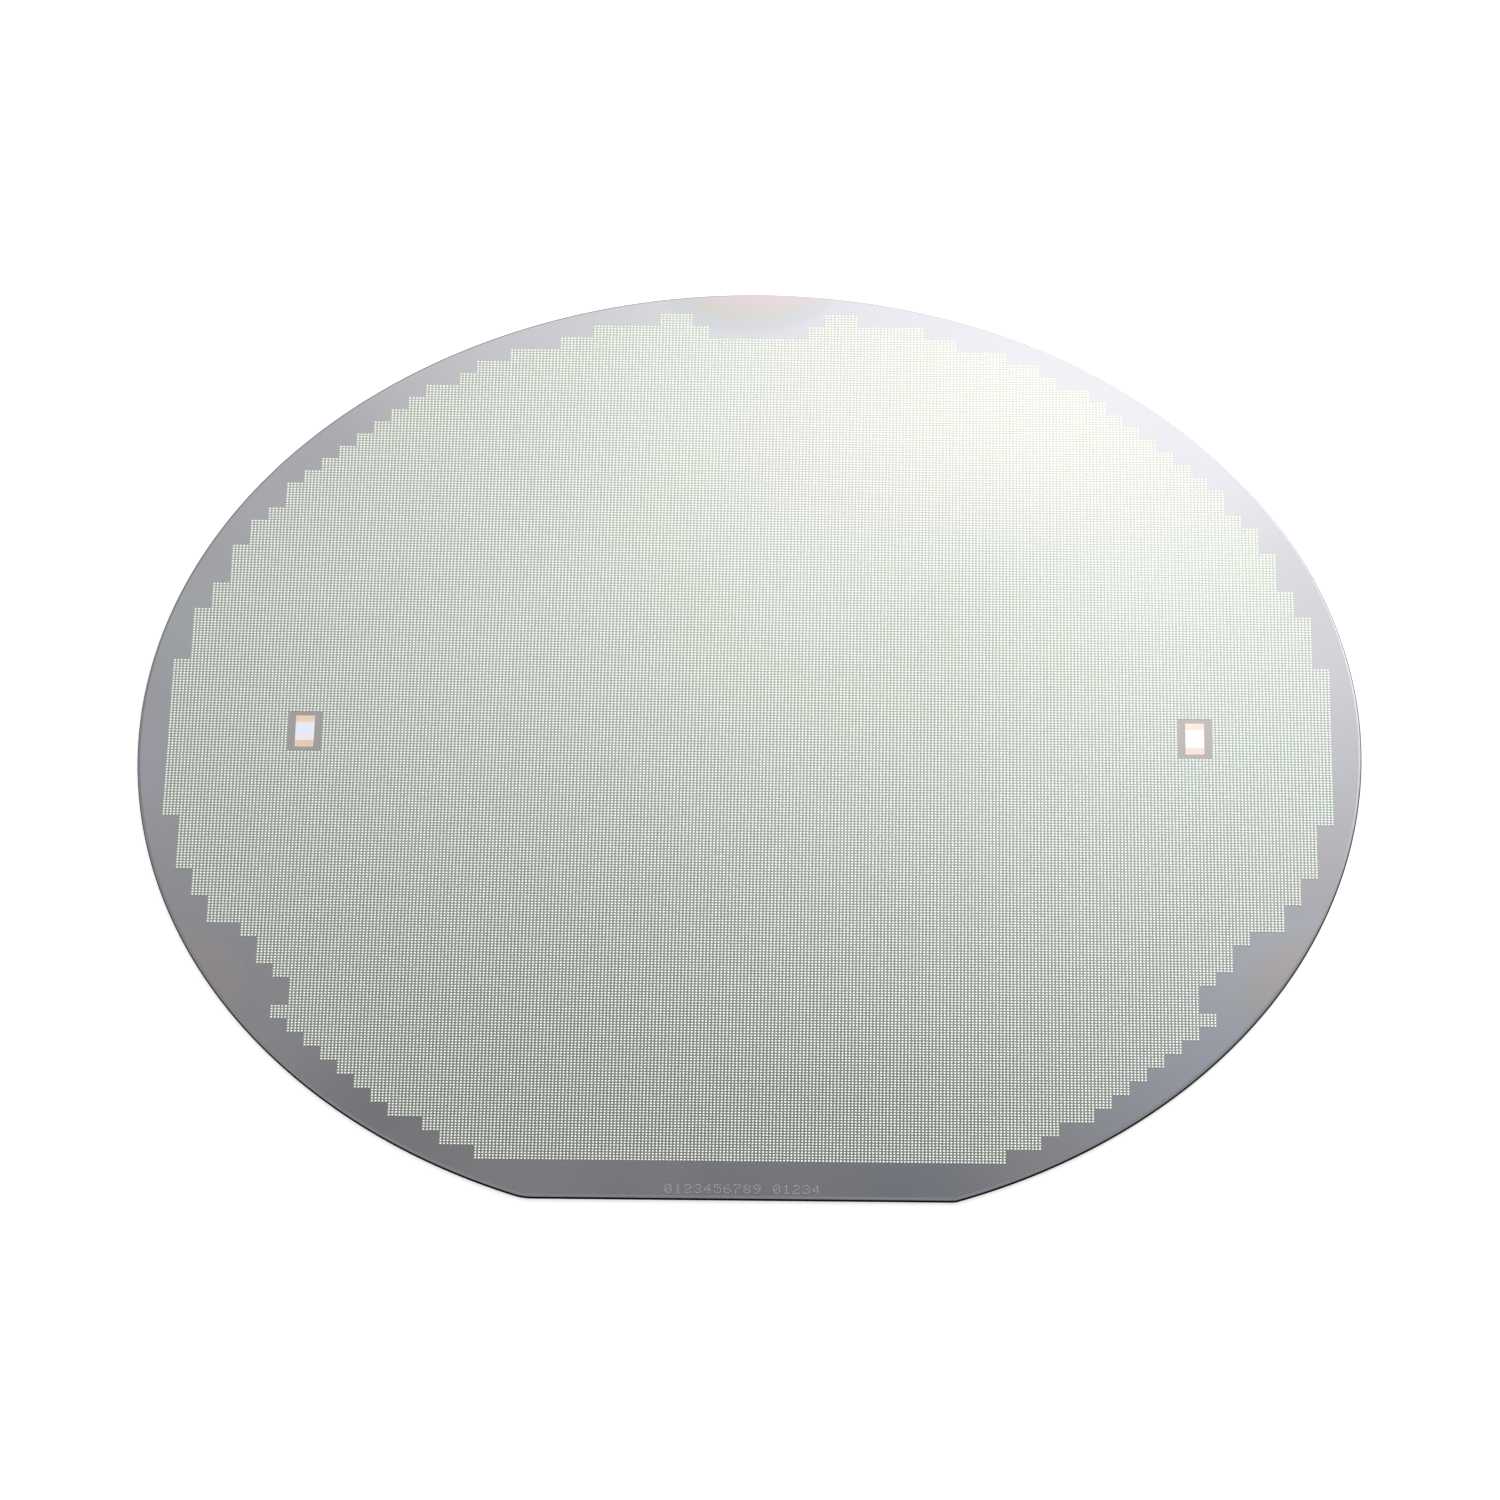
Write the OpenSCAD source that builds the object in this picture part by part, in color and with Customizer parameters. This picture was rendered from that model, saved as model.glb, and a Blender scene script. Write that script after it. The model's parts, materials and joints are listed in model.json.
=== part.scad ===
// Processed silicon wafer: one slice of silicon, its edge ground to a rounded bevel, with a
// primary flat, and the thin films of its printed fields standing as a low step on its front.
// The origin is the middle of the wafer on its back face, +Z points out of the front face,
// and the flat faces -Y.

/* [Wafer] */
// Diameter of the wafer
wafer_d = 125; // [100:1:150]
// Thickness of the silicon
wafer_t = 0.625; // [0.5:0.025:0.8]

/* [Primary flat] */
// Length of the flat, measured to where it would meet the full circle
flat_len = 42.5; // [30:0.5:60]

/* [Ground edge] */
// Radius of the nose that runs round the edge
nose_r = 0.28; // [0.15:0.01:0.3]
// Angle between each bevel and its face
bevel_angle = 22; // [15:1:30]

/* [Printed fields] */
// Pitch of the dies, the same along rows and columns
die_pitch = 0.35; // [0.25:0.01:0.6]
// Dies along each side of one printed field
field_dies = 5; // [4:1:10]
// Bare margin between the rim and the nearest corner of a field
rim_margin = 2.07; // [1:0.01:6]
// Bare margin kept along the flat
flat_margin = 4; // [2:0.1:8]
// Step height of the printed films above the bare margin
film_t = 0.02; // [0.01:0.005:0.05]

/* [Clamp marks] */
// How far each clamp finger kept the print away from the rim
clamp_reach = 6.2; // [3:0.1:12]
// Angle about the middle of the wafer that one finger covered
clamp_span = 12; // [6:1:20]
// Angle of the two lower fingers below the level line
clamp_drop = 31; // [25:1:40]

/* [Test sites] */
// Fields between the centre line and each test site
site_col = 25; // [10:1:26]
// Fields that one test site takes across
site_cols = 2; // [2:1:4]
// Fields that one test site takes along
site_rows = 3; // [3:1:5]
// Bare gap beside the test plate
plate_side_gap = 0.79; // [0.3:0.01:1]
// Bare gap beyond each end of the test plate
plate_end_gap = 0.54; // [0.3:0.01:1]
// Length of the end band at each end of the test plate
band_len = 0.85; // [0.4:0.05:1.2]
// Depth of the end bands below the middle of the plate
band_drop = 0.008; // [0.005:0.001:0.009]

/* [Hidden] */

$fn = 180;
// Overlap that lets a film bite into the silicon below it
bite = 0.1;

wafer_r = wafer_d / 2;
flat_dist = sqrt(wafer_r ^ 2 - (flat_len / 2) ^ 2);

// Each bevel is a tangent of a circle just inside the nose, so that it runs in under the nose
// and the two surfaces cross cleanly.
nose_lap = 0.002;
under_r = nose_r - nose_lap;
bevel_w = nose_r + (wafer_t / 2 * cos(bevel_angle) - under_r) / sin(bevel_angle);

field = die_pitch * field_dies;
usable_r = wafer_r - rim_margin;
last_field = floor(usable_r / field);
clamp_angles = [90, -clamp_drop, 180 + clamp_drop];
site_low_row = -floor(site_rows / 2);

// Section of the wafer from x = 0 out to the edge at x = reach
module edge_section(reach) {
    nose_x = reach - nose_r;
    foot = under_r * [sin(bevel_angle), cos(bevel_angle)];
    polygon([
        [0, 0],
        [reach - bevel_w, 0],
        [nose_x + foot.x, wafer_t / 2 - foot.y],
        [nose_x + foot.x, wafer_t / 2 + foot.y],
        [reach - bevel_w, wafer_t],
        [0, wafer_t],
    ]);
    translate([nose_x, wafer_t / 2]) circle(nose_r);
}

// The slice: a disc with its edge ground all round, and where it meets the flat, a plate whose
// long edge is ground to the same section
module silicon() {
    color("slategray")
        intersection() {
            rotate_extrude() edge_section(wafer_r);
            translate([-wafer_d / 2, wafer_d / 2])
                rotate([90, 0, 90])
                    linear_extrude(wafer_d)
                        mirror([1, 0]) edge_section(wafer_d / 2 + flat_dist);
        }
}

// Smallest turn between two directions
function turn(a, b) = abs((a - b + 540) % 360 - 180);

// Did a clamp finger cover this place while the fields were printed?
function clamped(x, y) =
    norm([x, y]) > wafer_r - clamp_reach
    && min([for (a = clamp_angles) turn(atan2(y, x), a)]) < clamp_span / 2;

// Was the field in this column and row printed? Column 0 and row 0 start at the centre lines.
function printed(col, row) =
    norm([max(abs(col), abs(col + 1)), max(abs(row), abs(row + 1))]) * field <= usable_r
    && row * field >= flat_margin - flat_dist
    && !clamped((col + 0.5) * field, (row + 0.5) * field);

// Columns at which an unbroken run of printed fields starts, and those at which one ends
function run_starts(row) = [
    for (col = [-last_field - 1 : last_field])
        if (printed(col, row) && !printed(col - 1, row)) col
];
function run_ends(row) = [
    for (col = [-last_field - 1 : last_field])
        if (printed(col, row) && !printed(col + 1, row)) col + 1
];

// Outline of all printed fields, with its stepped border
module field_outline() {
    for (row = [-last_field - 1 : last_field]) {
        starts = run_starts(row);
        ends = run_ends(row);
        for (i = [0 : 1 : len(starts) - 1])
            translate([starts[i], row] * field)
                square([ends[i] - starts[i], 1] * field);
    }
}

// Places its children at the lower left corner of each test site
module at_sites() {
    for (col = [-site_col - site_cols, site_col])
        translate([col * field, site_low_row * field]) children();
}

// Films of the printed fields, open at the two test sites
module printed_films() {
    color("honeydew")
        translate([0, 0, wafer_t - bite])
            linear_extrude(film_t + bite)
                difference() {
                    field_outline();
                    at_sites() square([site_cols, site_rows] * field);
                }
}

// Test plate in the middle of its site, with a lower band at each end
module test_plate() {
    plate = [site_cols, site_rows] * field - 2 * [plate_side_gap, plate_end_gap];
    translate([plate_side_gap, plate_end_gap, wafer_t - bite]) {
        color("antiquewhite")
            linear_extrude(film_t - band_drop + bite) square(plate);
        color("white")
            translate([0, band_len])
                linear_extrude(film_t + bite) square(plate - [0, 2 * band_len]);
    }
}

module wafer() {
    silicon();
    printed_films();
    at_sites() test_plate();
}

wafer();
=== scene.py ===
# %% [markdown]
# # A processed silicon wafer
# This lesson dresses one finished wafer: a thin slice of silicon, 125 mm across, with a flat
# ground on one side and nearly ninety thousand dies, the future chips, printed on its front. The
# solid model comes first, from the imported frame. Everything made below is placed from its sizes.

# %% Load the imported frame
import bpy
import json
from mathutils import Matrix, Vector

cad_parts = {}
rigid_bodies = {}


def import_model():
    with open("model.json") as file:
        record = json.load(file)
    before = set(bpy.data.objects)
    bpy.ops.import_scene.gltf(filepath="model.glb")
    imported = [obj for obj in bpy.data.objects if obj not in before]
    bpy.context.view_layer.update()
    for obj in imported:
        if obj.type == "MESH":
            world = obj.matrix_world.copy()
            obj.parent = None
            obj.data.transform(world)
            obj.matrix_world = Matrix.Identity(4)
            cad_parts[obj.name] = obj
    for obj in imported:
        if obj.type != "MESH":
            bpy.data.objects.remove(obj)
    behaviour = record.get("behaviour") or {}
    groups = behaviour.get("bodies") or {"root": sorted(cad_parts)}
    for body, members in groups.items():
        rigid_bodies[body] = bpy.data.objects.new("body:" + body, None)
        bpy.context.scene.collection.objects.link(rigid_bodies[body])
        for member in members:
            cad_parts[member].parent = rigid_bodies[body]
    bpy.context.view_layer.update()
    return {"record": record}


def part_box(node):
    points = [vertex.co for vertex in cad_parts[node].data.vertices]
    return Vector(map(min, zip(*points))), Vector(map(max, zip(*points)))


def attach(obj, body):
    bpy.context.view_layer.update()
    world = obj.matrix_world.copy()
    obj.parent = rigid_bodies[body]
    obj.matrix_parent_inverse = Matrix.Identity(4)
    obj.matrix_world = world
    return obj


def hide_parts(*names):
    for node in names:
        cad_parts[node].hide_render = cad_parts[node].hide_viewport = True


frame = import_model()

import json
from math import atan2, ceil, cos, degrees, hypot, radians, sin, sqrt

import bmesh
import bpy
from mathutils import Matrix, Quaternion, Vector

MM = 0.001            # a millimetre in metres, the unit of the frame


# %% [markdown]
# ## Sizes in millimetres
# A wafer is drawn in millimetres, and Blender works in metres, so sizes below are written in
# millimetres and multiplied by one constant. The diameter, the place of the flat and the height
# of the films are read from the model, so that they can't drift apart from it. The die pitch,
# the margins and the marks of the clamp fingers are the same numbers that shaped the solid.

# %% Sizes of the slice and of its print
wafer_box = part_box("wafer")
mounts = {m["name"]: m for m in frame["record"]["mounts"]}
WAFER_D = round((wafer_box[1].x - wafer_box[0].x) / MM)
WAFER_R = WAFER_D / 2
WAFER_T = 0.625
FLAT_DIST = -mounts["primary_flat"]["pos_m"][1] / MM
TOP_Z = wafer_box[1].z / MM

DIE = 0.35            # pitch of the dies
FIELD_DIES = 5        # dies along one side of a printed field
FIELD = DIE * FIELD_DIES
RIM_MARGIN, FLAT_MARGIN = 2.07, 4.0
CLAMP_REACH, CLAMP_SPAN, CLAMP_DROP = 6.2, 12, 31
CLAMP_ANGLES = (90, -CLAMP_DROP, 180 + CLAMP_DROP)
SITE_COL, SITE_COLS, SITE_ROWS = 25, 2, 3
SITE_X = (SITE_COL + SITE_COLS / 2) * FIELD           # middle of the right test site
SITE_Y = (SITE_ROWS / 2 - SITE_ROWS // 2) * FIELD
SINK = 0.05           # how far the films reach down into the silicon, so that nothing gapes
print(f"diameter {WAFER_D} mm, flat {FLAT_DIST:.3f} mm from the middle, top at {TOP_Z:.3f} mm")

# %% [markdown]
# ## Small helpers
# Colours are written as sRGB hex values, the way a paint chart or a web page gives them. A
# shader works with linear light, so one function converts them. A second function adds a node:
# an input that is given a socket is linked, and one that is given a value is set.

# %% Colour and node helpers
def linear(hex_colour):
    """An sRGB hex colour as linear red, green, blue and alpha."""
    parts = [int(hex_colour[i:i + 2], 16) / 255 for i in (1, 3, 5)]
    return [p / 12.92 if p <= 0.04045 else ((p + 0.055) / 1.055) ** 2.4 for p in parts] + [1.0]


def add(tree, kind, inputs=None, **settings):
    """Adds a node with its settings, then links or sets its inputs by name or number."""
    node = tree.nodes.new(kind)
    for name, value in settings.items():
        setattr(node, name, value)
    for key, value in (inputs or {}).items():
        if isinstance(value, bpy.types.NodeSocket):
            tree.links.new(value, node.inputs[key])
        else:
            node.inputs[key].default_value = value
    return node


print("mid grey #808080 is", round(linear("#808080")[0], 3), "in linear light")

# %% [markdown]
# Every finish here is one Principled shader, so one function makes a material with that shader
# and its output. Patterns read object coordinates, which are the model's own place in metres, so
# a pattern 3 mm wide on the real slice is 3 mm wide here. A mottled finish mixes two colours by
# a noise. A Mix node for colours takes its share in input 0 and its two colours in inputs 6 and
# 7, and gives the result at output 2.

# %% Finish helpers
def new_finish(name, sockets):
    """A material that is one Principled shader: the material, its tree and the shader."""
    material = bpy.data.materials.new(name)
    material.use_nodes = True
    tree = material.node_tree
    tree.nodes.clear()
    shader = add(tree, "ShaderNodeBsdfPrincipled", sockets)
    add(tree, "ShaderNodeOutputMaterial", {"Surface": shader.outputs[0]})
    return material, tree, shader


def mottled(tree, place, width, detail, one, other, low=0.0, high=1.0):
    """Two colours in soft patches, width in mm. Noise from low to high goes from one to other."""
    noise = add(tree, "ShaderNodeTexNoise", {
        "Vector": place, "Scale": 1 / (width * MM), "Detail": detail,
    })
    share = add(tree, "ShaderNodeMapRange", {
        "Value": noise.outputs[0], "From Min": low, "From Max": high,
    }).outputs[0]
    return add(tree, "ShaderNodeMix", {
        0: share, 6: linear(one), 7: linear(other),
    }, data_type="RGBA").outputs[2]


print("a pattern 3 mm wide has a scale of", round(1 / (3 * MM)), "to the metre")

# %% [markdown]
# A piece is made from a list of points in millimetres and a list of faces. Each finished piece
# stays at the origin, unturned and unscaled, with its place in its mesh, so that a pattern
# that reads its coordinates lies where it should.

# %% Mesh helpers
def new_piece(name, points, faces, materials, slots=None):
    """A mesh object from points in mm. slots gives each face's material number."""
    mesh = bpy.data.meshes.new(name)
    mesh.from_pydata([[c * MM for c in p] for p in points], [], faces)
    for material in materials:
        mesh.materials.append(material)
    if slots:
        mesh.polygons.foreach_set("material_index", slots)
    mesh.validate()
    piece = bpy.data.objects.new(name, mesh)
    bpy.context.scene.collection.objects.link(piece)
    return piece


def triangles(piece):
    return sum(len(p.vertices) - 2 for p in piece.data.polygons)


print("10 mm becomes", 10 * MM, "in a mesh")

# %% [markdown]
# ## Finish 1: polished silicon under a thin clear film
# Polished silicon is a grey mirror that returns about a third of the light. The oxide and
# nitride on it are thinner than a wavelength, so they tint the mirror: here a cool lavender
# grey, which drifts a little over some centimetres as the film thickness does. It could be a
# dark base under a clear coat, but a coat adds a second, white reflection, which a film this
# thin doesn't have. A metal shader is the simplest true description of a tinted mirror.

# %% Polished silicon with a drift of the film colour
FILM_DRIFT = 30       # width in mm of the patches
film, tree, film_shader = new_finish("polished_silicon_under_oxide_film", {
    "Metallic": 1.0,
    "Roughness": 0.17,
})
place = add(tree, "ShaderNodeTexCoord").outputs["Object"]
film_colour = mottled(tree, place, FILM_DRIFT, 1.0, "#98969A", "#96989C", low=0.35, high=0.65)
print(film.name, "drifts over patches", FILM_DRIFT, "mm wide")

# %% [markdown]
# Some tints sit at one place of the slice: a faint patch, or the mark of a finger that held
# the slice. They could be painted on an image, but a soft oval needs only a few nodes and stays
# sharp at any size. A Mapping node of the kind Texture shrinks the oval to a unit circle, so the
# length of the mapped vector is 0 in the middle and 1 at the border, and a colour ramp over that
# length gives the rings of tint. The first spots are faint patches near the rim that fade out at
# their borders, each given by its middle, its half widths and its colour. They carry slight tints
# of the film, and their lightness is painted reflection: lighter and darker places that even out
# how bright the mirror looks along the rim.

# %% Soft spots, and patches of tint and painted reflection near the rim
def spot(tree, place, under, centre, half_x, half_y, turned, stops):
    """Lays a ring-tinted oval, sizes in mm, over a colour given as a socket or a plain colour.

    stops run outwards from the middle, each as (share of the radius, hex colour, cover).
    """
    local = add(tree, "ShaderNodeMapping", {
        "Vector": place, "Location": [c * MM for c in centre] + [0],
        "Rotation": [0, 0, radians(turned)], "Scale": [half_x * MM, half_y * MM, 1.0],
    }, vector_type="TEXTURE").outputs[0]
    reach = add(tree, "ShaderNodeVectorMath", {0: local}, operation="LENGTH").outputs["Value"]
    ramp = add(tree, "ShaderNodeValToRGB", {"Fac": reach})
    rings = ramp.color_ramp
    rings.interpolation = "EASE"
    # A new ramp has two stops. The first is used for the middle, and the second isn't needed.
    rings.elements.remove(rings.elements[1])
    for i, (where, colour, cover) in enumerate(stops):
        stop = rings.elements.new(where) if i else rings.elements[0]
        stop.position, stop.color = where, linear(colour)[:3] + [cover]
    return add(tree, "ShaderNodeMix", {
        0: ramp.outputs["Alpha"], 6: under, 7: ramp.outputs["Color"],
    }, data_type="RGBA").outputs[2]


# Slight tints of the film, with painted reflection in their lightness.
FILM_TINTS_AND_PAINTED_REFLECTION = (
    (46, -42, 32, 32, "#999DA6"), (17, -57, 13, 9, "#8D9199"), (-19, -57, 12, 9, "#9E9DA2"),
    (-8, -57, 6, 6, "#9D9CA2"), (-37, -48, 14, 14, "#8F8C92"), (-61, -3, 12, 20, "#9C9CA4"),
    (-44, 40, 13, 13, "#919196"), (-59, 15, 12, 12, "#999C9F"), (58, 24, 16, 16, "#939397"))
for x, y, half_x, half_y, colour in FILM_TINTS_AND_PAINTED_REFLECTION:
    film_colour = spot(tree, place, film_colour, (x, y), half_x, half_y, 0,
                       [(0.0, colour, 1.0), (1.0, colour, 0.0)])
print(len(FILM_TINTS_AND_PAINTED_REFLECTION), "faint patches near the rim")

# %% [markdown]
# Three fingers held the slice while the films grew, and the films are thinner there. Each mark
# is warm at the rim, more neutral further in, and ends in a halo a little cooler than the film.
# The films grew a little further under one side of each finger, so a mark sits a degree or two
# off the finger's own angle. The mark opposite the flat also has a pink crescent on the rim.

# %% Clamp marks
MARK_REACH = 6.0      # how far each mark reaches in from the rim
CLAMP_MARKS = (       # angle, half length along the rim, tint at the rim, tint further in, halo
    (91, 10.0, "#979290", "#95938E", "#909296"),
    (-29.5, 10.2, "#9E9A9B", "#9C9A9D", "#999DA4"),
    (209.5, 9.2, "#9B9698", "#9A9799", "#96969B"))
for angle, half_length, rim, inner, halo in CLAMP_MARKS:
    middle = (WAFER_R * cos(radians(angle)), WAFER_R * sin(radians(angle)))
    film_colour = spot(tree, place, film_colour, middle, MARK_REACH, half_length, angle, [
        (0.0, rim, 1.0), (0.25, rim, 1.0), (0.52, inner, 1.0), (0.82, halo, 0.6),
        (1.0, halo, 0.0)])
CRESCENT_AT, CRESCENT_HALF_X, CRESCENT_HALF_Y = (0.4, WAFER_R - 0.3), 12.0, 2.2
pink = "#9D9197"
film_colour = spot(tree, place, film_colour, CRESCENT_AT, CRESCENT_HALF_X, CRESCENT_HALF_Y, 0,
                   [(0.0, pink, 1.0), (1.0, pink, 0.0)])
print(len(CLAMP_MARKS), "clamp marks and a crescent")

# %% [markdown]
# At the two test sites the stack lacks a layer, and the film looks mauve. The sites are
# surrounded by the circuit film, so a round spot wider than a site fills it evenly.

# %% Test sites
SITE_SPOT = 5.0       # radius of the spot; the corner of a site is 3.2 mm from its middle
for side, mauve in ((-1, "#9F9B9A"), (1, "#938F8D")):
    film_colour = spot(tree, place, film_colour, (side * SITE_X, SITE_Y), SITE_SPOT, SITE_SPOT, 0,
                       [(0.0, mauve, 1.0), (0.8, mauve, 1.0), (1.0, mauve, 0.0)])
tree.links.new(film_colour, film_shader.inputs["Base Color"])
print(film.name, "has", len(tree.nodes), "nodes")

# %% [markdown]
# ## Finish 2: ground edge
# The rim of a slice is ground round with a diamond wheel, so that it doesn't chip, and then
# etched. The bevel comes out as a fine satin grey. The nose is painted nearly black beside the
# mirror, with a dark tint for grazing light: painted shade, the dark line that the round nose
# shows. The two could be two materials with a hard line between them, but the real change is
# gradual, so one material changes by a ramp over the height. Wheel grit is about 0.02 mm, too
# fine to show, so the grain is drawn ten times as coarse.

# %% Ground and etched edge
GRAIN = 0.2
SATIN_FROM, SATIN_TO = 0.47, 0.515    # heights between which the black turns to satin
# Middle and reach in mm of the painted highlight on the bevel.
HIGHLIGHT_AT, HIGHLIGHT_REACH = (26, 57), 48
edge, tree, shader = new_finish("ground_silicon_with_painted_shade_and_highlight", {
    "Metallic": 1.0,
    "Roughness": 0.4,
})
place = add(tree, "ShaderNodeTexCoord").outputs["Object"]
# Painted shade: the nose is nearly black, with a fine grain over it.
nose_shade_and_grain = mottled(tree, place, GRAIN, 3.0, "#101011", "#1C1C1E")
# Painted highlight: the bevel is lighter on the side away from the flat.
painted_highlight = "#B8B8BB"
bevel_grey_and_highlight = spot(tree, place, linear("#818186"), HIGHLIGHT_AT, HIGHLIGHT_REACH, HIGHLIGHT_REACH, 0,
                  [(0.0, painted_highlight, 1.0), (0.4, painted_highlight, 1.0), (1.0, painted_highlight, 0.0)])
height = add(tree, "ShaderNodeSeparateXYZ", {0: place}).outputs["Z"]
satin = add(tree, "ShaderNodeMapRange", {
    "Value": height, "From Min": SATIN_FROM * MM, "From Max": SATIN_TO * MM,
}, interpolation_type="SMOOTHSTEP").outputs[0]
tint = add(tree, "ShaderNodeMix", {
    0: satin, 6: nose_shade_and_grain, 7: bevel_grey_and_highlight,
}, data_type="RGBA").outputs[2]
tree.links.new(tint, shader.inputs["Base Color"])
# Painted shade: a dark tint for grazing light keeps the nose nearly black from every side, and the
# bevel keeps a pale one.
grazing_tint_and_nose_shade = add(tree, "ShaderNodeMix", {
    0: satin, 6: linear("#404040"), 7: linear("#F2F2F4"),
}, data_type="RGBA").outputs[2]
tree.links.new(grazing_tint_and_nose_shade, shader.inputs["Specular Tint"])
print("made", edge.name)

# %% [markdown]
# ## Finish 3: lapped back
# The back is lapped flat on a cast iron plate with loose grit, then etched. That leaves a dull
# mid grey with a faint mottle some millimetres wide, which a noise draws at that size.

# %% Lapped back
MOTTLE = 3
back, tree, shader = new_finish("lapped_silicon", {"Metallic": 1.0, "Roughness": 0.42})
place = add(tree, "ShaderNodeTexCoord").outputs["Object"]
tint = mottled(tree, place, MOTTLE, 4.0, "#7D7D80", "#949497")
tree.links.new(tint, shader.inputs["Base Color"])
print("made", back.name)

# %% [markdown]
# ## The slice
# A disc cut by a plane would have a sharp flat, and a Bevel modifier can't follow a section
# that is part cone and part circle. So the slice is one outline, swept with one edge section,
# as the wheel goes round it. The outline is the full circle, cut by the primary flat. The wheel
# leaves a small radius where the two meet, larger on the side where it ran off. Each outline
# point also keeps its outward direction, which the sweep needs.

# %% Outline of the slice
def corner_centre(radius):
    """Middle of an arc that runs from the flat into the circle, on the +X side."""
    return Vector((sqrt((WAFER_R - radius) ** 2 - (FLAT_DIST - radius) ** 2), radius - FLAT_DIST))


def arc(centre, radius, start, end, steps):
    """Points on an arc with their outward directions, angles in degrees."""
    turns = [radians(start + (end - start) * i / steps) for i in range(steps + 1)]
    return [(centre + radius * Vector((cos(a), sin(a))), Vector((cos(a), sin(a)))) for a in turns]


RIGHT_R, LEFT_R = 2.0, 5.0
RIM_STEPS, RIGHT_STEPS, LEFT_STEPS = 400, 6, 8
right, left = corner_centre(RIGHT_R), corner_centre(LEFT_R)
left.x = -left.x
right_end = degrees(atan2(right.y, right.x))
left_end = degrees(atan2(left.y, left.x)) % 360
outline = (arc(right, RIGHT_R, -90, right_end, RIGHT_STEPS)
           + arc(Vector((0, 0)), WAFER_R, right_end, left_end, RIM_STEPS)[1:-1]
           + arc(left, LEFT_R, left_end, 270, LEFT_STEPS))
print(len(outline), "outline points, straight flat", round(right.x - left.x, 2), "mm long")

# %% [markdown]
# The section starts where the flat front ends. A bevel at 22 degrees runs down into a nose
# with a radius of 0.28 mm, and the lower half mirrors the upper. As in the solid, the bevel is
# a tangent of a circle just inside the nose, which makes it a hair wider than an exact tangent.

# %% Section of the edge, as inset from the rim and height
NOSE_R, NOSE_LAP, BEVEL, NOSE_STEPS = 0.28, 0.002, 22, 7
bevel_w = NOSE_R + ((WAFER_T / 2 * cos(radians(BEVEL)) - NOSE_R + NOSE_LAP)
                    / sin(radians(BEVEL)))
nose = [(90 - BEVEL) * (1 - i / NOSE_STEPS) for i in range(2 * NOSE_STEPS + 1)]
section = ([(bevel_w, WAFER_T)]
           + [(NOSE_R - NOSE_R * cos(radians(a)), WAFER_T / 2 + NOSE_R * sin(radians(a)))
              for a in nose]
           + [(bevel_w, 0.0)])
print("bevel", round(bevel_w, 3), "mm wide,", len(section), "points in the section")

# %% [markdown]
# The sweep puts the section at every outline point and joins neighbours with four-sided faces.
# One large face closes the front and one the back. Each kind of face has its own finish. The
# edge is shaded smooth, but a turn of more than 14 degrees stays a crisp line, so the mirror
# ends exactly where the bevel starts.

# %% Sweep the section round the outline
FRONT, GROUND, BACK = 0, 1, 2
CRISP_TURN = 14
points, faces, slots = [], [], []
for at, out in outline:
    points += [(at.x - out.x * inset, at.y - out.y * inset, z) for inset, z in section]
n, m = len(outline), len(section)
for i in range(n):
    for j in range(m - 1):
        a, b = i * m + j, (i + 1) % n * m + j
        faces.append((a, a + 1, b + 1, b))
        slots.append(GROUND)
faces += [[i * m for i in range(n)], [i * m + m - 1 for i in reversed(range(n))]]
slots += [FRONT, BACK]
wafer_slice = new_piece("silicon_slice", points, faces, [film, edge, back], slots)
wafer_slice.data.shade_smooth()
wafer_slice.data.set_sharp_from_angle(angle=radians(CRISP_TURN))
print(wafer_slice.name, triangles(wafer_slice), "triangles")

# %% [markdown]
# ## Which fields are printed
# A stepper prints the wafer one small field at a time. A list of fields would be long and easy
# to get wrong, so a rule picks them: a field is printed only where all of it fits inside the
# rim margin, clear of the flat and of the clamp fingers. That rule alone gives the stepped
# border, and the same rule shaped the solid model.

# %% The printing rule
def printed(col, row):
    far = hypot(max(abs(col), abs(col + 1)), max(abs(row), abs(row + 1))) * FIELD
    x, y = (col + 0.5) * FIELD, (row + 0.5) * FIELD
    turn = min(abs((degrees(atan2(y, x)) - a + 540) % 360 - 180) for a in CLAMP_ANGLES)
    clamped = hypot(x, y) > WAFER_R - CLAMP_REACH and turn < CLAMP_SPAN / 2
    return far <= WAFER_R - RIM_MARGIN and row * FIELD >= FLAT_MARGIN - FLAT_DIST and not clamped


def test_site(col, row):
    across = SITE_COL <= col < SITE_COL + SITE_COLS or -SITE_COL - SITE_COLS <= col < -SITE_COL
    low = -(SITE_ROWS // 2)
    return across and low <= row < low + SITE_ROWS


last = ceil(WAFER_R / FIELD)
fields = [(col, row) for row in range(-last, last) for col in range(-last, last)
          if printed(col, row) and not test_site(col, row)]
print(len(fields), "printed fields,", len(fields) * FIELD_DIES ** 2, "dies")

# %% [markdown]
# ## Finish 4: the circuit film
# Inside the printed fields the stack has more layers, and the tint moves from lavender to a
# pale grey green. The print is also a fine relief, so this film is a little less of a mirror
# than the bare border. The street between two dies is this film. Four soft spots make it lighter
# and warmer far from the flat, lighter at the left and darker in two places: slight tints of the
# stack, with painted reflection in their lightness, which evens out how bright the mirror looks.

# %% Circuit film
CIRCUIT_DRIFT = 35
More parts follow.
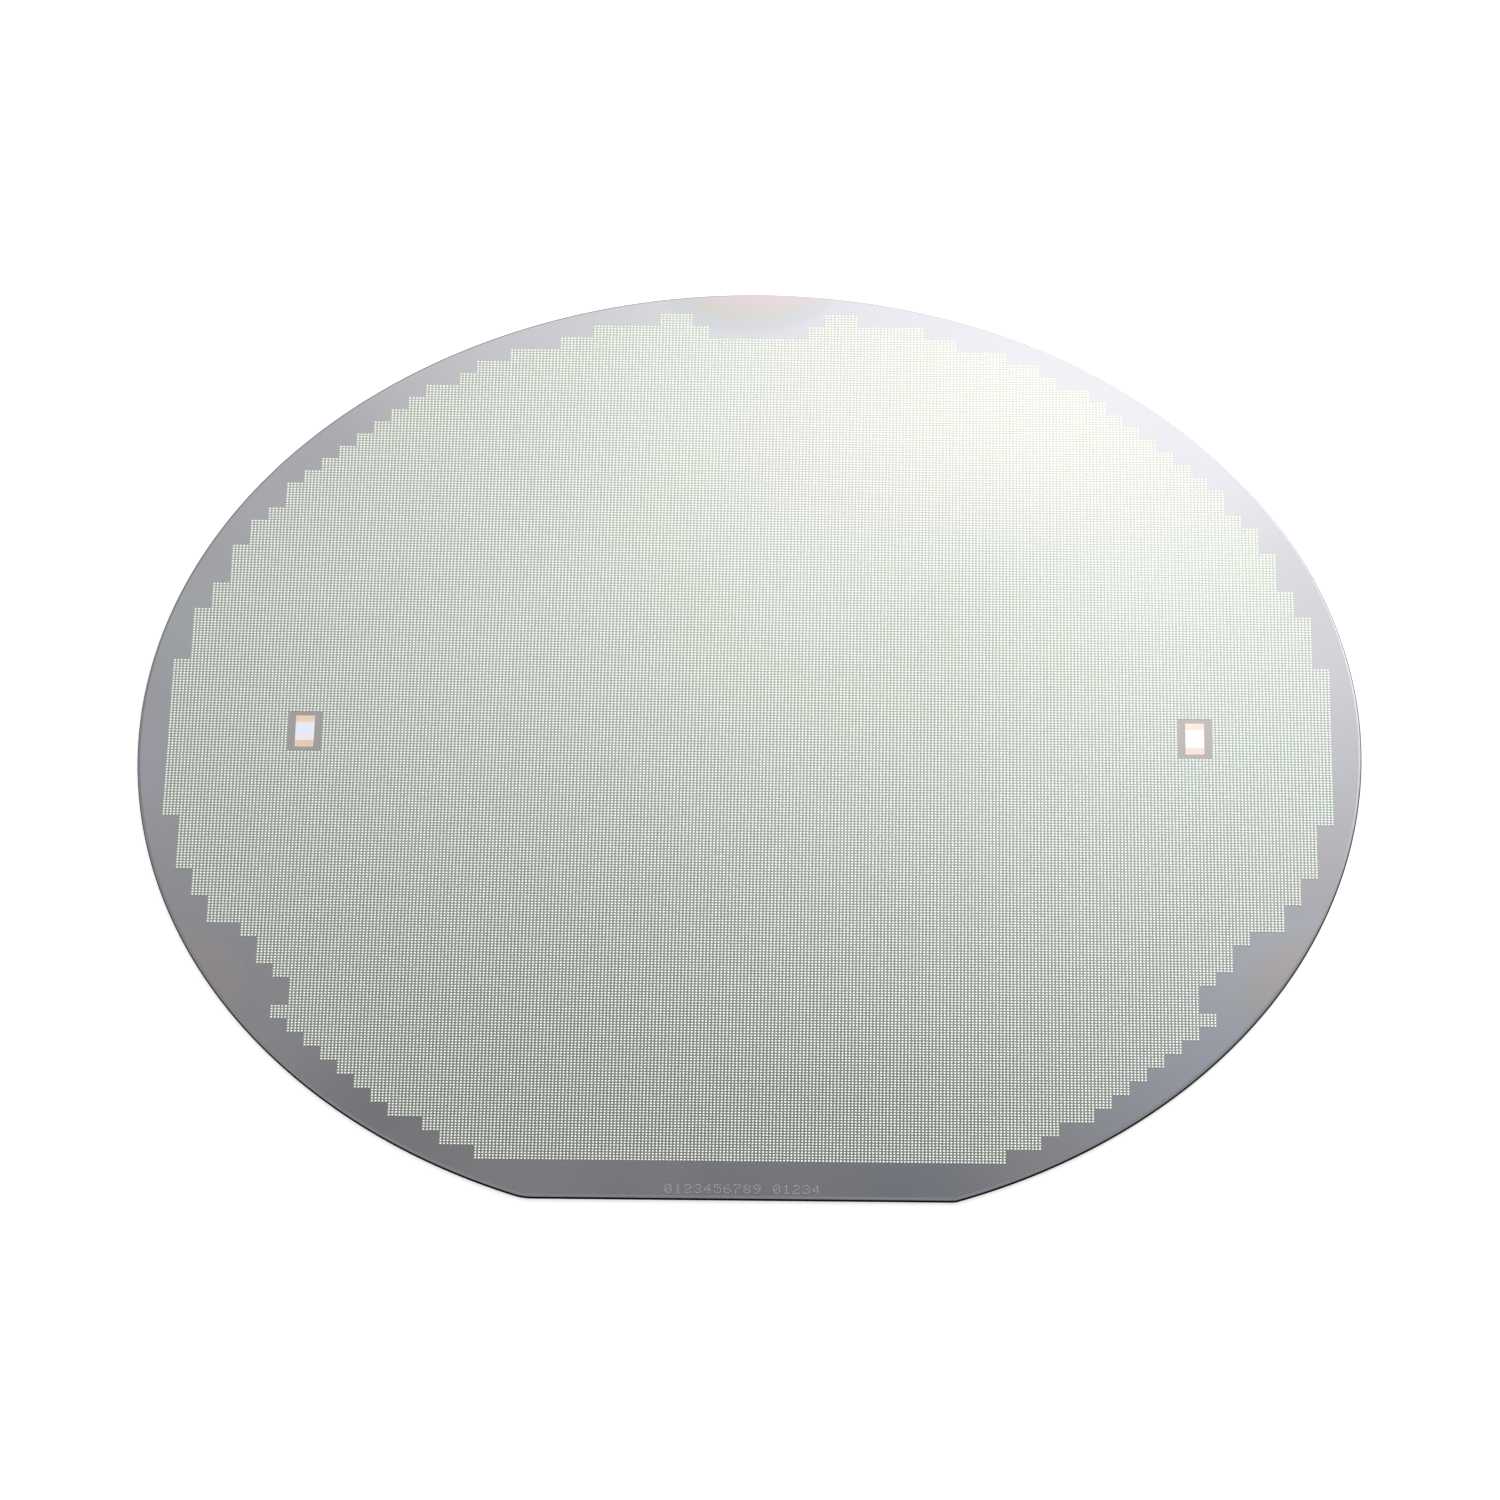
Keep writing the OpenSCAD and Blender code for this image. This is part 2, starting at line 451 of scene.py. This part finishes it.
# Slight tints of the stack, with painted reflection in their lightness.
CIRCUIT_TINTS_AND_PAINTED_REFLECTION = (
    (25, 46, 48, 48, "#9E9D98"), (-44, 4, 40, 60, "#9BA19B"), (21, 13, 24, 32, "#8F958E"),
    (12, -47, 24, 12, "#909590"))
circuit, tree, shader = new_finish("patterned_oxide_and_nitride_film", {
    "Metallic": 1.0,
    "Roughness": 0.19,
})
place = add(tree, "ShaderNodeTexCoord").outputs["Object"]
tint = mottled(tree, place, CIRCUIT_DRIFT, 1.0, "#959A92", "#939A96", low=0.35, high=0.65)
for x, y, half_x, half_y, colour in CIRCUIT_TINTS_AND_PAINTED_REFLECTION:
    tint = spot(tree, place, tint, (x, y), half_x, half_y, 0,
                [(0.0, colour, 1.0), (1.0, colour, 0.0)])
tree.links.new(tint, shader.inputs["Base Color"])
print(circuit.name, "has", len(tree.nodes), "nodes")

# %% [markdown]
# The film could be thousands of small boxes joined by a boolean, which is slow and leaves
# doubled faces. It is built as one low slab instead: a top face for each field, the same
# below, and a wall wherever the next field isn't printed. Its top lies a little under the
# model's top, because the pads stand on it and reach that height.

# %% Build the circuit film
PAD_H = 0.006
FILM_TOP, FILM_FOOT = TOP_Z - PAD_H, WAFER_T - SINK
is_printed = set(fields)
corners, points, faces = {}, [], []


def corner(col, row, z):
    """Number of the point at a corner of the field grid, made the first time it is needed."""
    key = (col, row, z)
    if key not in corners:
        corners[key] = len(points)
        points.append((col * FIELD, row * FIELD, z))
    return corners[key]


for col, row in fields:
    ring = [(col, row), (col + 1, row), (col + 1, row + 1), (col, row + 1)]
    faces.append([corner(*c, FILM_TOP) for c in ring])
    faces.append([corner(*c, FILM_FOOT) for c in reversed(ring)])
    for (a, b), step in zip(zip(ring, ring[1:] + ring[:1]), ((0, -1), (1, 0), (0, 1), (-1, 0))):
        if (col + step[0], row + step[1]) not in is_printed:
            faces.append([corner(*a, FILM_FOOT), corner(*b, FILM_FOOT),
                          corner(*b, FILM_TOP), corner(*a, FILM_TOP)])
circuit_film = new_piece("circuit_film", points, faces, [circuit])
check = bmesh.new()
check.from_mesh(circuit_film.data)
print(circuit_film.name, triangles(circuit_film), "triangles, open or doubled edges",
      sum(not e.is_manifold for e in check.edges))
check.free()

# %% [markdown]
# ## Finish 5: plated silver pads
# Each die carries one round pad of plated silver. Silver that is plated and not polished is a
# bright satin white: it scatters what it reflects, so it stays light from nearly every side. A
# pad is a quarter of a millimetre across, too small for a pattern of its own.

# %% Plated silver
silver = new_finish("satin_plated_silver", {
    "Base Color": linear("#F1F5EF"),
    "Metallic": 1.0,
    "Roughness": 0.35,
})[0]
print("made", silver.name)

# %% [markdown]
# ## Step and repeat
# Nearly ninety thousand pads could be a pattern in the film's shader, but then they would have
# no thickness and no finish of their own. Geometry Nodes copy them the way the printer does. A
# tree has named inputs for its sizes, and ends by turning its copies into one plain mesh with
# Realize Instances and giving it a finish with Set Material. Two trees are made in this
# lesson, so their beginning and their end are two functions.

# %% Beginning and end of a Geometry Nodes tree
def new_tree(name, result, inputs):
    """A tree with one output and its named inputs: the tree and its input sockets."""
    tree = bpy.data.node_groups.new(name, "GeometryNodeTree")
    tree.interface.new_socket(result, in_out="OUTPUT", socket_type="NodeSocketGeometry")
    for label, kind in inputs.items():
        tree.interface.new_socket(label, in_out="INPUT", socket_type="NodeSocket" + kind)
    return tree, add(tree, "NodeGroupInput").outputs


def close_tree(tree, result, copies, finish):
    """Turns the copies into one plain mesh with its finish, and puts it out as the result."""
    plain = add(tree, "GeometryNodeRealizeInstances", {"Geometry": copies})
    dressed = add(tree, "GeometryNodeSetMaterial", {
        "Geometry": plain.outputs[0], "Material": finish,
    })
    add(tree, "NodeGroupOutput", {result: dressed.outputs[0]})
    print(tree.name, "has", len(tree.nodes), "nodes")


print("trees so far:", len(bpy.data.node_groups))

# %% [markdown]
# A grid of points, one for each die of a field, gets a low six-sided pad on every point. That
# tile is then set on the middle of every printed field. A six-sided cone is only ten triangles,
# and its slope is so low that it reads as a slightly domed disc.

# %% Build the step-and-repeat tree
repeat, given = new_tree("step_and_repeat", "Pads", {
    "Field middles": "Geometry", "Die pitch": "Float", "Dies along a side": "Int",
    "Pad radius": "Float", "Pad height": "Float", "Pad sides": "Int", "Finish": "Material",
})
pad = add(repeat, "GeometryNodeMeshCone", {
    "Vertices": given["Pad sides"], "Side Segments": 1, "Radius Top": 0.0,
    "Radius Bottom": given["Pad radius"], "Depth": given["Pad height"],
}, fill_type="NGON")
# The sides share one smooth surface; the hidden foot keeps its own.
domed = add(repeat, "GeometryNodeSetShadeSmooth", {
    "Geometry": pad.outputs["Mesh"], "Selection": pad.outputs["Bottom"], "Shade Smooth": False,
})
gaps = add(repeat, "ShaderNodeMath", {
    0: given["Dies along a side"], 1: 1.0,
}, operation="SUBTRACT").outputs[0]
width = add(repeat, "ShaderNodeMath", {
    0: gaps, 1: given["Die pitch"],
}, operation="MULTIPLY").outputs[0]
die_points = add(repeat, "GeometryNodeMeshGrid", {
    "Size X": width, "Size Y": width,
    "Vertices X": given["Dies along a side"], "Vertices Y": given["Dies along a side"],
})
tile = add(repeat, "GeometryNodeInstanceOnPoints", {
    "Points": die_points.outputs["Mesh"], "Instance": domed.outputs[0],
})
steps = add(repeat, "GeometryNodeInstanceOnPoints", {
    "Points": given["Field middles"], "Instance": tile.outputs[0],
})
close_tree(repeat, "Pads", steps.outputs[0], given["Finish"])

# %% [markdown]
# A tree is used as a modifier on a mesh that is only points. Each input is set by its socket's
# identifier before the first evaluation. The evaluated result becomes a plain mesh, and the
# carrier with its modifier is removed, so that what stays is an ordinary piece.

# %% Bake a tree into a plain piece
def grown(name, centres, tree, values):
    """Runs a tree on points in mm and returns the result as a plain object."""
    carrier = new_piece(name + "_points", centres, [], [])
    modifier = carrier.modifiers.new("grow", "NODES")
    modifier.node_group = tree
    for item in tree.interface.items_tree:
        if item.in_out == "INPUT" and item.name in values:
            modifier[item.identifier] = values[item.name]
    graph = bpy.context.evaluated_depsgraph_get()
    mesh = bpy.data.meshes.new_from_object(carrier.evaluated_get(graph), depsgraph=graph)
    bpy.data.objects.remove(carrier)
    mesh.name = name
    piece = bpy.data.objects.new(name, mesh)
    bpy.context.scene.collection.objects.link(piece)
    print(piece.name, triangles(piece), "triangles, top at",
          round(max(v.co.z for v in mesh.vertices) / MM, 4), "mm")
    return piece


print("objects so far:", len(bpy.context.scene.collection.all_objects))

# %% [markdown]
# All the pads in one mesh would be close to a million triangles. Five bands of the wafer, each
# with a fifth of the fields, keep every mesh small enough to handle. A pad's foot is sunk by
# half a thousandth of a millimetre, so that it never floats.

# %% Set the pads on all fields
PAD_R, PAD_SINK, BANDS = 0.119, 0.0005, 5
share = ceil(len(fields) / BANDS)
pad_pieces = []
for band in range(BANDS):
    middles = [((col + 0.5) * FIELD, (row + 0.5) * FIELD, FILM_TOP - PAD_SINK)
               for col, row in fields[band * share:(band + 1) * share]]
    pad_pieces.append(grown(f"silver_pads_{band + 1}", middles, repeat, {
        "Die pitch": DIE * MM, "Dies along a side": FIELD_DIES, "Pad radius": PAD_R * MM,
        "Pad height": (PAD_H + PAD_SINK) * MM, "Pad sides": 6, "Finish": silver,
    }))

# %% [markdown]
# ## Finish 6: test plates
# At two sites the stepper prints a larger pattern for checking the process: a bright plate
# with a band at each end. The plate is aluminium under a clear film, bluish in the middle and
# creamy towards its ends, and more neutral at the site on the right. One material serves both
# plates: it picks its colours by which side of the wafer it is on.

# %% Plate finish
def beyond(tree, place, axis, limit):
    """1 where the surface lies past a limit in mm on an axis, and 0 before it."""
    along = add(tree, "ShaderNodeSeparateXYZ", {0: place}).outputs[axis]
    return add(tree, "ShaderNodeMath", {
        0: along, 1: limit * MM,
    }, operation="GREATER_THAN").outputs[0]


ENDLESS = 20000       # half width of an oval so much wider than the wafer that it is a band
PLATE_Y, PLATE_REACH, PLATE_DRIFT = 1.1, 1.5, 1.5
plate_metal, tree, shader = new_finish("aluminium_under_clear_film", {
    "Metallic": 1.0,
    "Roughness": 0.3,
})
place = add(tree, "ShaderNodeTexCoord").outputs["Object"]
bluish = mottled(tree, place, PLATE_DRIFT, 1.0, "#D8D9EF", "#D3E1EC")
left_tint = spot(tree, place, bluish, (0, PLATE_Y), ENDLESS, PLATE_REACH, 0, [
    (0.0, "#DBDBE9", 0.0), (0.3, "#DBDBE9", 0.6), (0.6, "#E3DADC", 1.0), (1.0, "#E3DADC", 1.0)])
right_tint = spot(tree, place, linear("#D1D4D4"), (0, PLATE_Y), ENDLESS, PLATE_REACH, 0, [
    (0.0, "#D4D2CC", 0.0), (0.45, "#D4D2CC", 0.2), (1.0, "#D4D0C9", 1.0)])
tint = add(tree, "ShaderNodeMix", {
    0: beyond(tree, place, "X", 0), 6: left_tint, 7: right_tint,
}, data_type="RGBA").outputs[2]
tree.links.new(tint, shader.inputs["Base Color"])
print("made", plate_metal.name)

# %% [markdown]
# A thicker film over the two end bands gives them a peach tint. It differs a little between
# the lower and the upper band and is paler at the site on the right, so four colours are picked
# by place. A faint sheen under a millimetre wide keeps them from looking like paint.

# %% Band finish
SHEEN = 0.8
band_metal, tree, shader = new_finish("aluminium_under_peach_film", {
    "Metallic": 1.0,
    "Roughness": 0.35,
})
place = add(tree, "ShaderNodeTexCoord").outputs["Object"]
right_site = beyond(tree, place, "X", 0)
lower, upper = [add(tree, "ShaderNodeMix", {
    0: right_site, 6: linear(at_left), 7: linear(at_right),
}, data_type="RGBA").outputs[2] for at_left, at_right in (
    ("#D7C0B3", "#D4C3BF"), ("#DAC7B5", "#D4CAC1"))]
peach = add(tree, "ShaderNodeMix", {
    0: beyond(tree, place, "Y", SITE_Y), 6: lower, 7: upper,
}, data_type="RGBA").outputs[2]
sheen = add(tree, "ShaderNodeTexNoise", {
    "Vector": place, "Scale": 1 / (SHEEN * MM), "Detail": 1.0,
})
tint = add(tree, "ShaderNodeMix", {
    0: sheen.outputs[0], 6: peach, 7: linear("#F6F5F3"),
}, data_type="RGBA", blend_type="MULTIPLY").outputs[2]
tree.links.new(tint, shader.inputs["Base Color"])
print("made", band_metal.name)

# %% [markdown]
# A plate is the same section all along its width: a low block whose two ends drop to the bands.
# So it is eight points in section, drawn twice and joined, with the foot sunk into the silicon.
# The faces are listed in the order of that section, and those of the bands get the peach tint.

# %% Build the test plates
SIDE_GAP, END_GAP, BAND_LEN, BAND_DROP = 0.79, 0.54, 0.85, 0.008
METAL, PEACH = 0, 1
plates = []
for side, name in ((-1, "test_plate_left"), (1, "test_plate_right")):
    start = SITE_COL if side > 0 else -SITE_COL - SITE_COLS
    x0, x1 = start * FIELD + SIDE_GAP, (start + SITE_COLS) * FIELD - SIDE_GAP
    y0 = -(SITE_ROWS // 2) * FIELD + END_GAP
    y3 = (SITE_ROWS - SITE_ROWS // 2) * FIELD - END_GAP
    y1, y2 = y0 + BAND_LEN, y3 - BAND_LEN
    foot, low = WAFER_T - SINK, TOP_Z - BAND_DROP
    profile = [(y0, foot), (y3, foot), (y3, low), (y2, low),
               (y2, TOP_Z), (y1, TOP_Z), (y1, low), (y0, low)]
    points = [(x, y, z) for x in (x1, x0) for y, z in profile]
    k = len(profile)
    faces = [list(range(k)), list(range(2 * k - 1, k - 1, -1))]
    faces += [(i, i + k, (i + 1) % k + k, (i + 1) % k) for i in range(k)]
    slots = [METAL, METAL] + [METAL, PEACH, PEACH, METAL, METAL, METAL, PEACH, PEACH]
    plates.append(new_piece(name, points, faces, [plate_metal, band_metal], slots))
    print(name, round(x1 - x0, 2), "by", round(y3 - y0, 2), "mm")

# %% [markdown]
# ## Laser-marked digits
# A laser marks each slice with dots near the flat. The mark here is only digits in counting
# order. A Text object would give solid strokes, which no laser of this kind leaves, so each
# digit is a grid of dots, five wide and seven high. A row of the grid is five signs, and a 1
# is a dot.

# %% Dot positions of the digits
GLYPHS = {
    "0": "01110 10001 10011 10101 11001 10001 01110",
    "1": "00100 01100 00100 00100 00100 00100 01110",
    "2": "01110 10001 00001 00110 01000 10000 11111",
    "3": "01110 10001 00001 00110 00001 10001 01110",
    "4": "00010 00110 01010 10010 11111 00010 00010",
    "5": "11111 10000 11110 00001 00001 10001 01110",
    "6": "00110 01000 10000 11110 10001 10001 01110",
    "7": "11111 00001 00010 00100 01000 01000 01000",
    "8": "01110 10001 10001 01110 10001 10001 01110",
    "9": "01110 10001 10001 01111 00001 00010 01100",
}
MARK = "0123456789 01234"
MARK_X, MARK_Y, DIGIT_STEP = 0.3, -57.62, 0.97
DOT_X, DOT_Y, DOT_R, DOT_H = 0.145, 0.16, 0.08, 0.006
dots = []
for i, digit in enumerate(MARK):
    middle_x = MARK_X + (i - (len(MARK) - 1) / 2) * DIGIT_STEP
    for line, bits in enumerate(GLYPHS.get(digit, "").split()):
        for column, bit in enumerate(bits):
            if bit == "1":
                dots.append((middle_x + (column - 2) * DOT_X, MARK_Y + (3 - line) * DOT_Y,
                             WAFER_T - DOT_H / 2))
print(len(dots), "dots in the digits")

# %% [markdown]
# Silicon that has melted under the laser and set again is rougher and lighter than the mirror.
# A second tree puts a small eight-sided dot on each point, sunk by half its height. A dot is
# too small for a pattern of its own.

# %% Dot finish and dot tree
melted = new_finish("laser_melted_silicon", {
    "Base Color": linear("#C4C5C9"),
    "Metallic": 1.0,
    "Roughness": 0.45,
})[0]
dotter, given = new_tree("laser_dots", "Dots", {
    "Dot middles": "Geometry", "Dot radius": "Float", "Dot height": "Float",
    "Dot sides": "Int", "Finish": "Material",
})
dot = add(dotter, "GeometryNodeMeshCone", {
    "Vertices": given["Dot sides"], "Radius Top": 0.0, "Radius Bottom": given["Dot radius"],
    "Depth": given["Dot height"],
}, fill_type="NGON")
row_of_dots = add(dotter, "GeometryNodeInstanceOnPoints", {
    "Points": given["Dot middles"], "Instance": dot.outputs["Mesh"],
})
close_tree(dotter, "Dots", row_of_dots.outputs[0], given["Finish"])
digits = grown("laser_digits", dots, dotter, {
    "Dot radius": DOT_R * MM, "Dot height": DOT_H * MM, "Dot sides": 8, "Finish": melted,
})

# %% [markdown]
# ## Floor
# The wafer lies on a plain white floor. More lamps would make it white too, but they would
# also wash out the wafer. So the floor glows a little, and only for rays from the camera and
# for what a mirror or glass shows. It then reads as pure white and keeps the thin shadow at the
# edge.

# %% White floor
def looked_at(tree):
    """1 for a ray from the camera or one that a mirror or glass sent on, and 0 for others."""
    rays = add(tree, "ShaderNodeLightPath").outputs
    seen = add(tree, "ShaderNodeMath", {
        0: rays["Is Camera Ray"], 1: rays["Is Glossy Ray"],
    }, operation="MAXIMUM").outputs[0]
    return add(tree, "ShaderNodeMath", {
        0: seen, 1: rays["Is Transmission Ray"],
    }, operation="MAXIMUM").outputs[0]


GLOW, FLOOR_HALF, FLOOR_Z = 0.65, 3000, -0.02
floor_white, tree, shader = new_finish("white_paper_floor", {
    "Base Color": linear("#F7F7F7"), "Roughness": 0.9, "Emission Color": linear("#FFFFFF"),
    "Specular IOR Level": 0.0,
})
glow = add(tree, "ShaderNodeMath", {
    0: looked_at(tree), 1: GLOW,
}, operation="MULTIPLY").outputs[0]
tree.links.new(glow, shader.inputs["Emission Strength"])
floor_piece = new_piece("floor", [(x * FLOOR_HALF, y * FLOOR_HALF, FLOOR_Z)
                                  for x, y in ((-1, -1), (1, -1), (1, 1), (-1, 1))],
                        [(0, 1, 2, 3)], [floor_white])
print("floor", 2 * FLOOR_HALF * MM, "m wide, glow", GLOW)

# %% [markdown]
# ## World
# The world is the white room round the wafer. It is white where the camera, a mirror or glass
# looks at it, and gives only a soft fill to matte surfaces, by the same test as the floor.

# %% White world
FILL = 0.4
world = bpy.data.worlds.new("white_room")
bpy.context.scene.world = world
world.use_nodes = True
tree = world.node_tree
tree.nodes.clear()
level = add(tree, "ShaderNodeMapRange", {
    "Value": looked_at(tree), "To Min": FILL, "To Max": 1.0,
}).outputs[0]
sky = add(tree, "ShaderNodeBackground", {"Color": linear("#FFFFFF"), "Strength": level})
add(tree, "ShaderNodeOutputWorld", {"Surface": sky.outputs[0]})
print("fill from the world", FILL, "of white")

# %% [markdown]
# ## A soft scrim behind the wafer
# A mirror shows what stands opposite the camera. Such a surface is lit with a scrim: a sheet of
# diffusing cloth behind the object, with a lamp behind the cloth. The cloth glows most where
# the lamp is near, and less where a dark card shades it, and the polished film shows that as a
# smooth sweep from bright to dark. A lamp alone would give the mirror one hard bright patch.
# Here the cloth is a plane whose glow is 1, plus a soft oval of light, less a soft oval of
# shade. At its border it is as bright as the world, so its frame never shows.

# %% Cloth with a lit oval and a shaded oval
cloth = bpy.data.materials.new("lit_diffusion_cloth")
cloth.use_nodes = True
tree = cloth.node_tree
tree.nodes.clear()
place = add(tree, "ShaderNodeTexCoord").outputs["Object"]


def oval(tree, place, x, y, half_x, half_y, turned):
    """A soft oval on the cloth, sizes in mm: 1 in its middle, falling off as a bell curve."""
    local = add(tree, "ShaderNodeMapping", {
        "Vector": place, "Location": [x * MM, y * MM, 0], "Rotation": [0, 0, radians(turned)],
        "Scale": [half_x * MM, half_y * MM, 1.0],
    }, vector_type="TEXTURE").outputs[0]
    square = add(tree, "ShaderNodeVectorMath", {0: local, 1: local},
                 operation="DOT_PRODUCT").outputs["Value"]
    minus = add(tree, "ShaderNodeMath", {0: square, 1: -1.0}, operation="MULTIPLY").outputs[0]
    return add(tree, "ShaderNodeMath", {0: minus}, operation="EXPONENT").outputs[0]


LIT, SHADED = (57, -48, 149, 86, 4.9), (-7, 166, 168, 258, 6.8)
glow = 1.0
for shape, strength in ((LIT, 3.5), (SHADED, -0.8)):
    glow = add(tree, "ShaderNodeMath", {
        0: oval(tree, place, *shape), 1: strength, 2: glow,
    }, operation="MULTIPLY_ADD").outputs[0]
shine = add(tree, "ShaderNodeEmission", {"Color": linear("#FFFFFF"), "Strength": glow})
add(tree, "ShaderNodeOutputMaterial", {"Surface": shine.outputs[0]})
print(cloth.name, "has", len(tree.nodes), "nodes")

# %% [markdown]
# The scrim stands 1.2 m away and faces the wafer, tilted down by 48 degrees. Its place and its
# turn are one matrix, whose columns are the cloth's own directions across, up and forwards. It
# is hidden from the camera and throws no shadow, so that only the mirror shows it.

# %% Hang the scrim
SCRIM_DISTANCE, SCRIM_ELEVATION = 1200, 48
SCRIM_HALF_W, SCRIM_HALF_H = 600, 700
away = Vector((0, cos(radians(SCRIM_ELEVATION)), sin(radians(SCRIM_ELEVATION))))
middle = away * SCRIM_DISTANCE
across, up = Vector((1, 0, 0)), Vector((0, -away.z, away.y))
scrim = new_piece("scrim", [(x * SCRIM_HALF_W, y * SCRIM_HALF_H, 0)
                            for x, y in ((-1, -1), (1, -1), (1, 1), (-1, 1))],
                  [(0, 1, 2, 3)], [cloth])
scrim.matrix_world = Matrix((
    (across.x, up.x, -away.x, middle.x * MM),
    (across.y, up.y, -away.y, middle.y * MM),
    (across.z, up.z, -away.z, middle.z * MM),
    (0, 0, 0, 1)))
scrim.visible_camera = False
scrim.visible_shadow = False
print("scrim at", [round(c) for c in middle], "mm")

# %% [markdown]
# ## A side softbox
# A low softbox behind the wafer, towards the right, puts a thin light line on the bevel that
# faces it. It stands well below the scrim, so the flat film doesn't mirror it.

# %% Side softbox
SOFTBOX_AT, SOFTBOX_W, SOFTBOX_WATTS = (0.76, 1.27, 0.69), 1.2, 17.0     # in metres and watts
lamp = bpy.data.lights.new("side_softbox", "AREA")
lamp.shape, lamp.size, lamp.energy = "DISK", SOFTBOX_W, SOFTBOX_WATTS
softbox = bpy.data.objects.new("side_softbox", lamp)
softbox.location = SOFTBOX_AT
softbox.rotation_euler = (-softbox.location).to_track_quat("-Z", "Y").to_euler()
bpy.context.scene.collection.objects.link(softbox)
print("softbox", round(softbox.location.length, 2), "m away,", SOFTBOX_WATTS, "W")

# %% [markdown]
# ## Camera
# The camera looks down on the wafer from about 50 degrees above the floor, a little from the
# right. Its lens is long, so the circle stays a nearly perfect ellipse. The camera is aimed
# first and then rolled by about half a degree.

# %% Camera
CAMERA_AT = Vector((15.80, -628.44, 741.88)) * MM
CAMERA_AIM = Vector((0.092, -1.116, 0.625)) * MM
CAMERA_ROLL, LENS, SENSOR = -0.571, 228.3, 36.0
lens = bpy.data.cameras.new("camera")
lens.lens, lens.sensor_width = LENS, SENSOR
lens.clip_start, lens.clip_end = 0.05, 20.0
camera = bpy.data.objects.new("camera", lens)
camera.location = CAMERA_AT
camera.rotation_mode = "QUATERNION"
camera.rotation_quaternion = ((CAMERA_AIM - CAMERA_AT).to_track_quat("-Z", "Y")
                              @ Quaternion((0, 0, 1), radians(CAMERA_ROLL)))
bpy.context.scene.collection.objects.link(camera)
bpy.context.scene.camera = camera
bpy.context.scene.view_settings.view_transform = "Standard"
print("camera", round((CAMERA_AIM - CAMERA_AT).length, 3), "m from the wafer")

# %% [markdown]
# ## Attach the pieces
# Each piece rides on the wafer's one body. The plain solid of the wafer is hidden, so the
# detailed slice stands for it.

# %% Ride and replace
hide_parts("wafer")
for piece in [wafer_slice, circuit_film, digits, *plates, *pad_pieces]:
    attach(piece, "root")
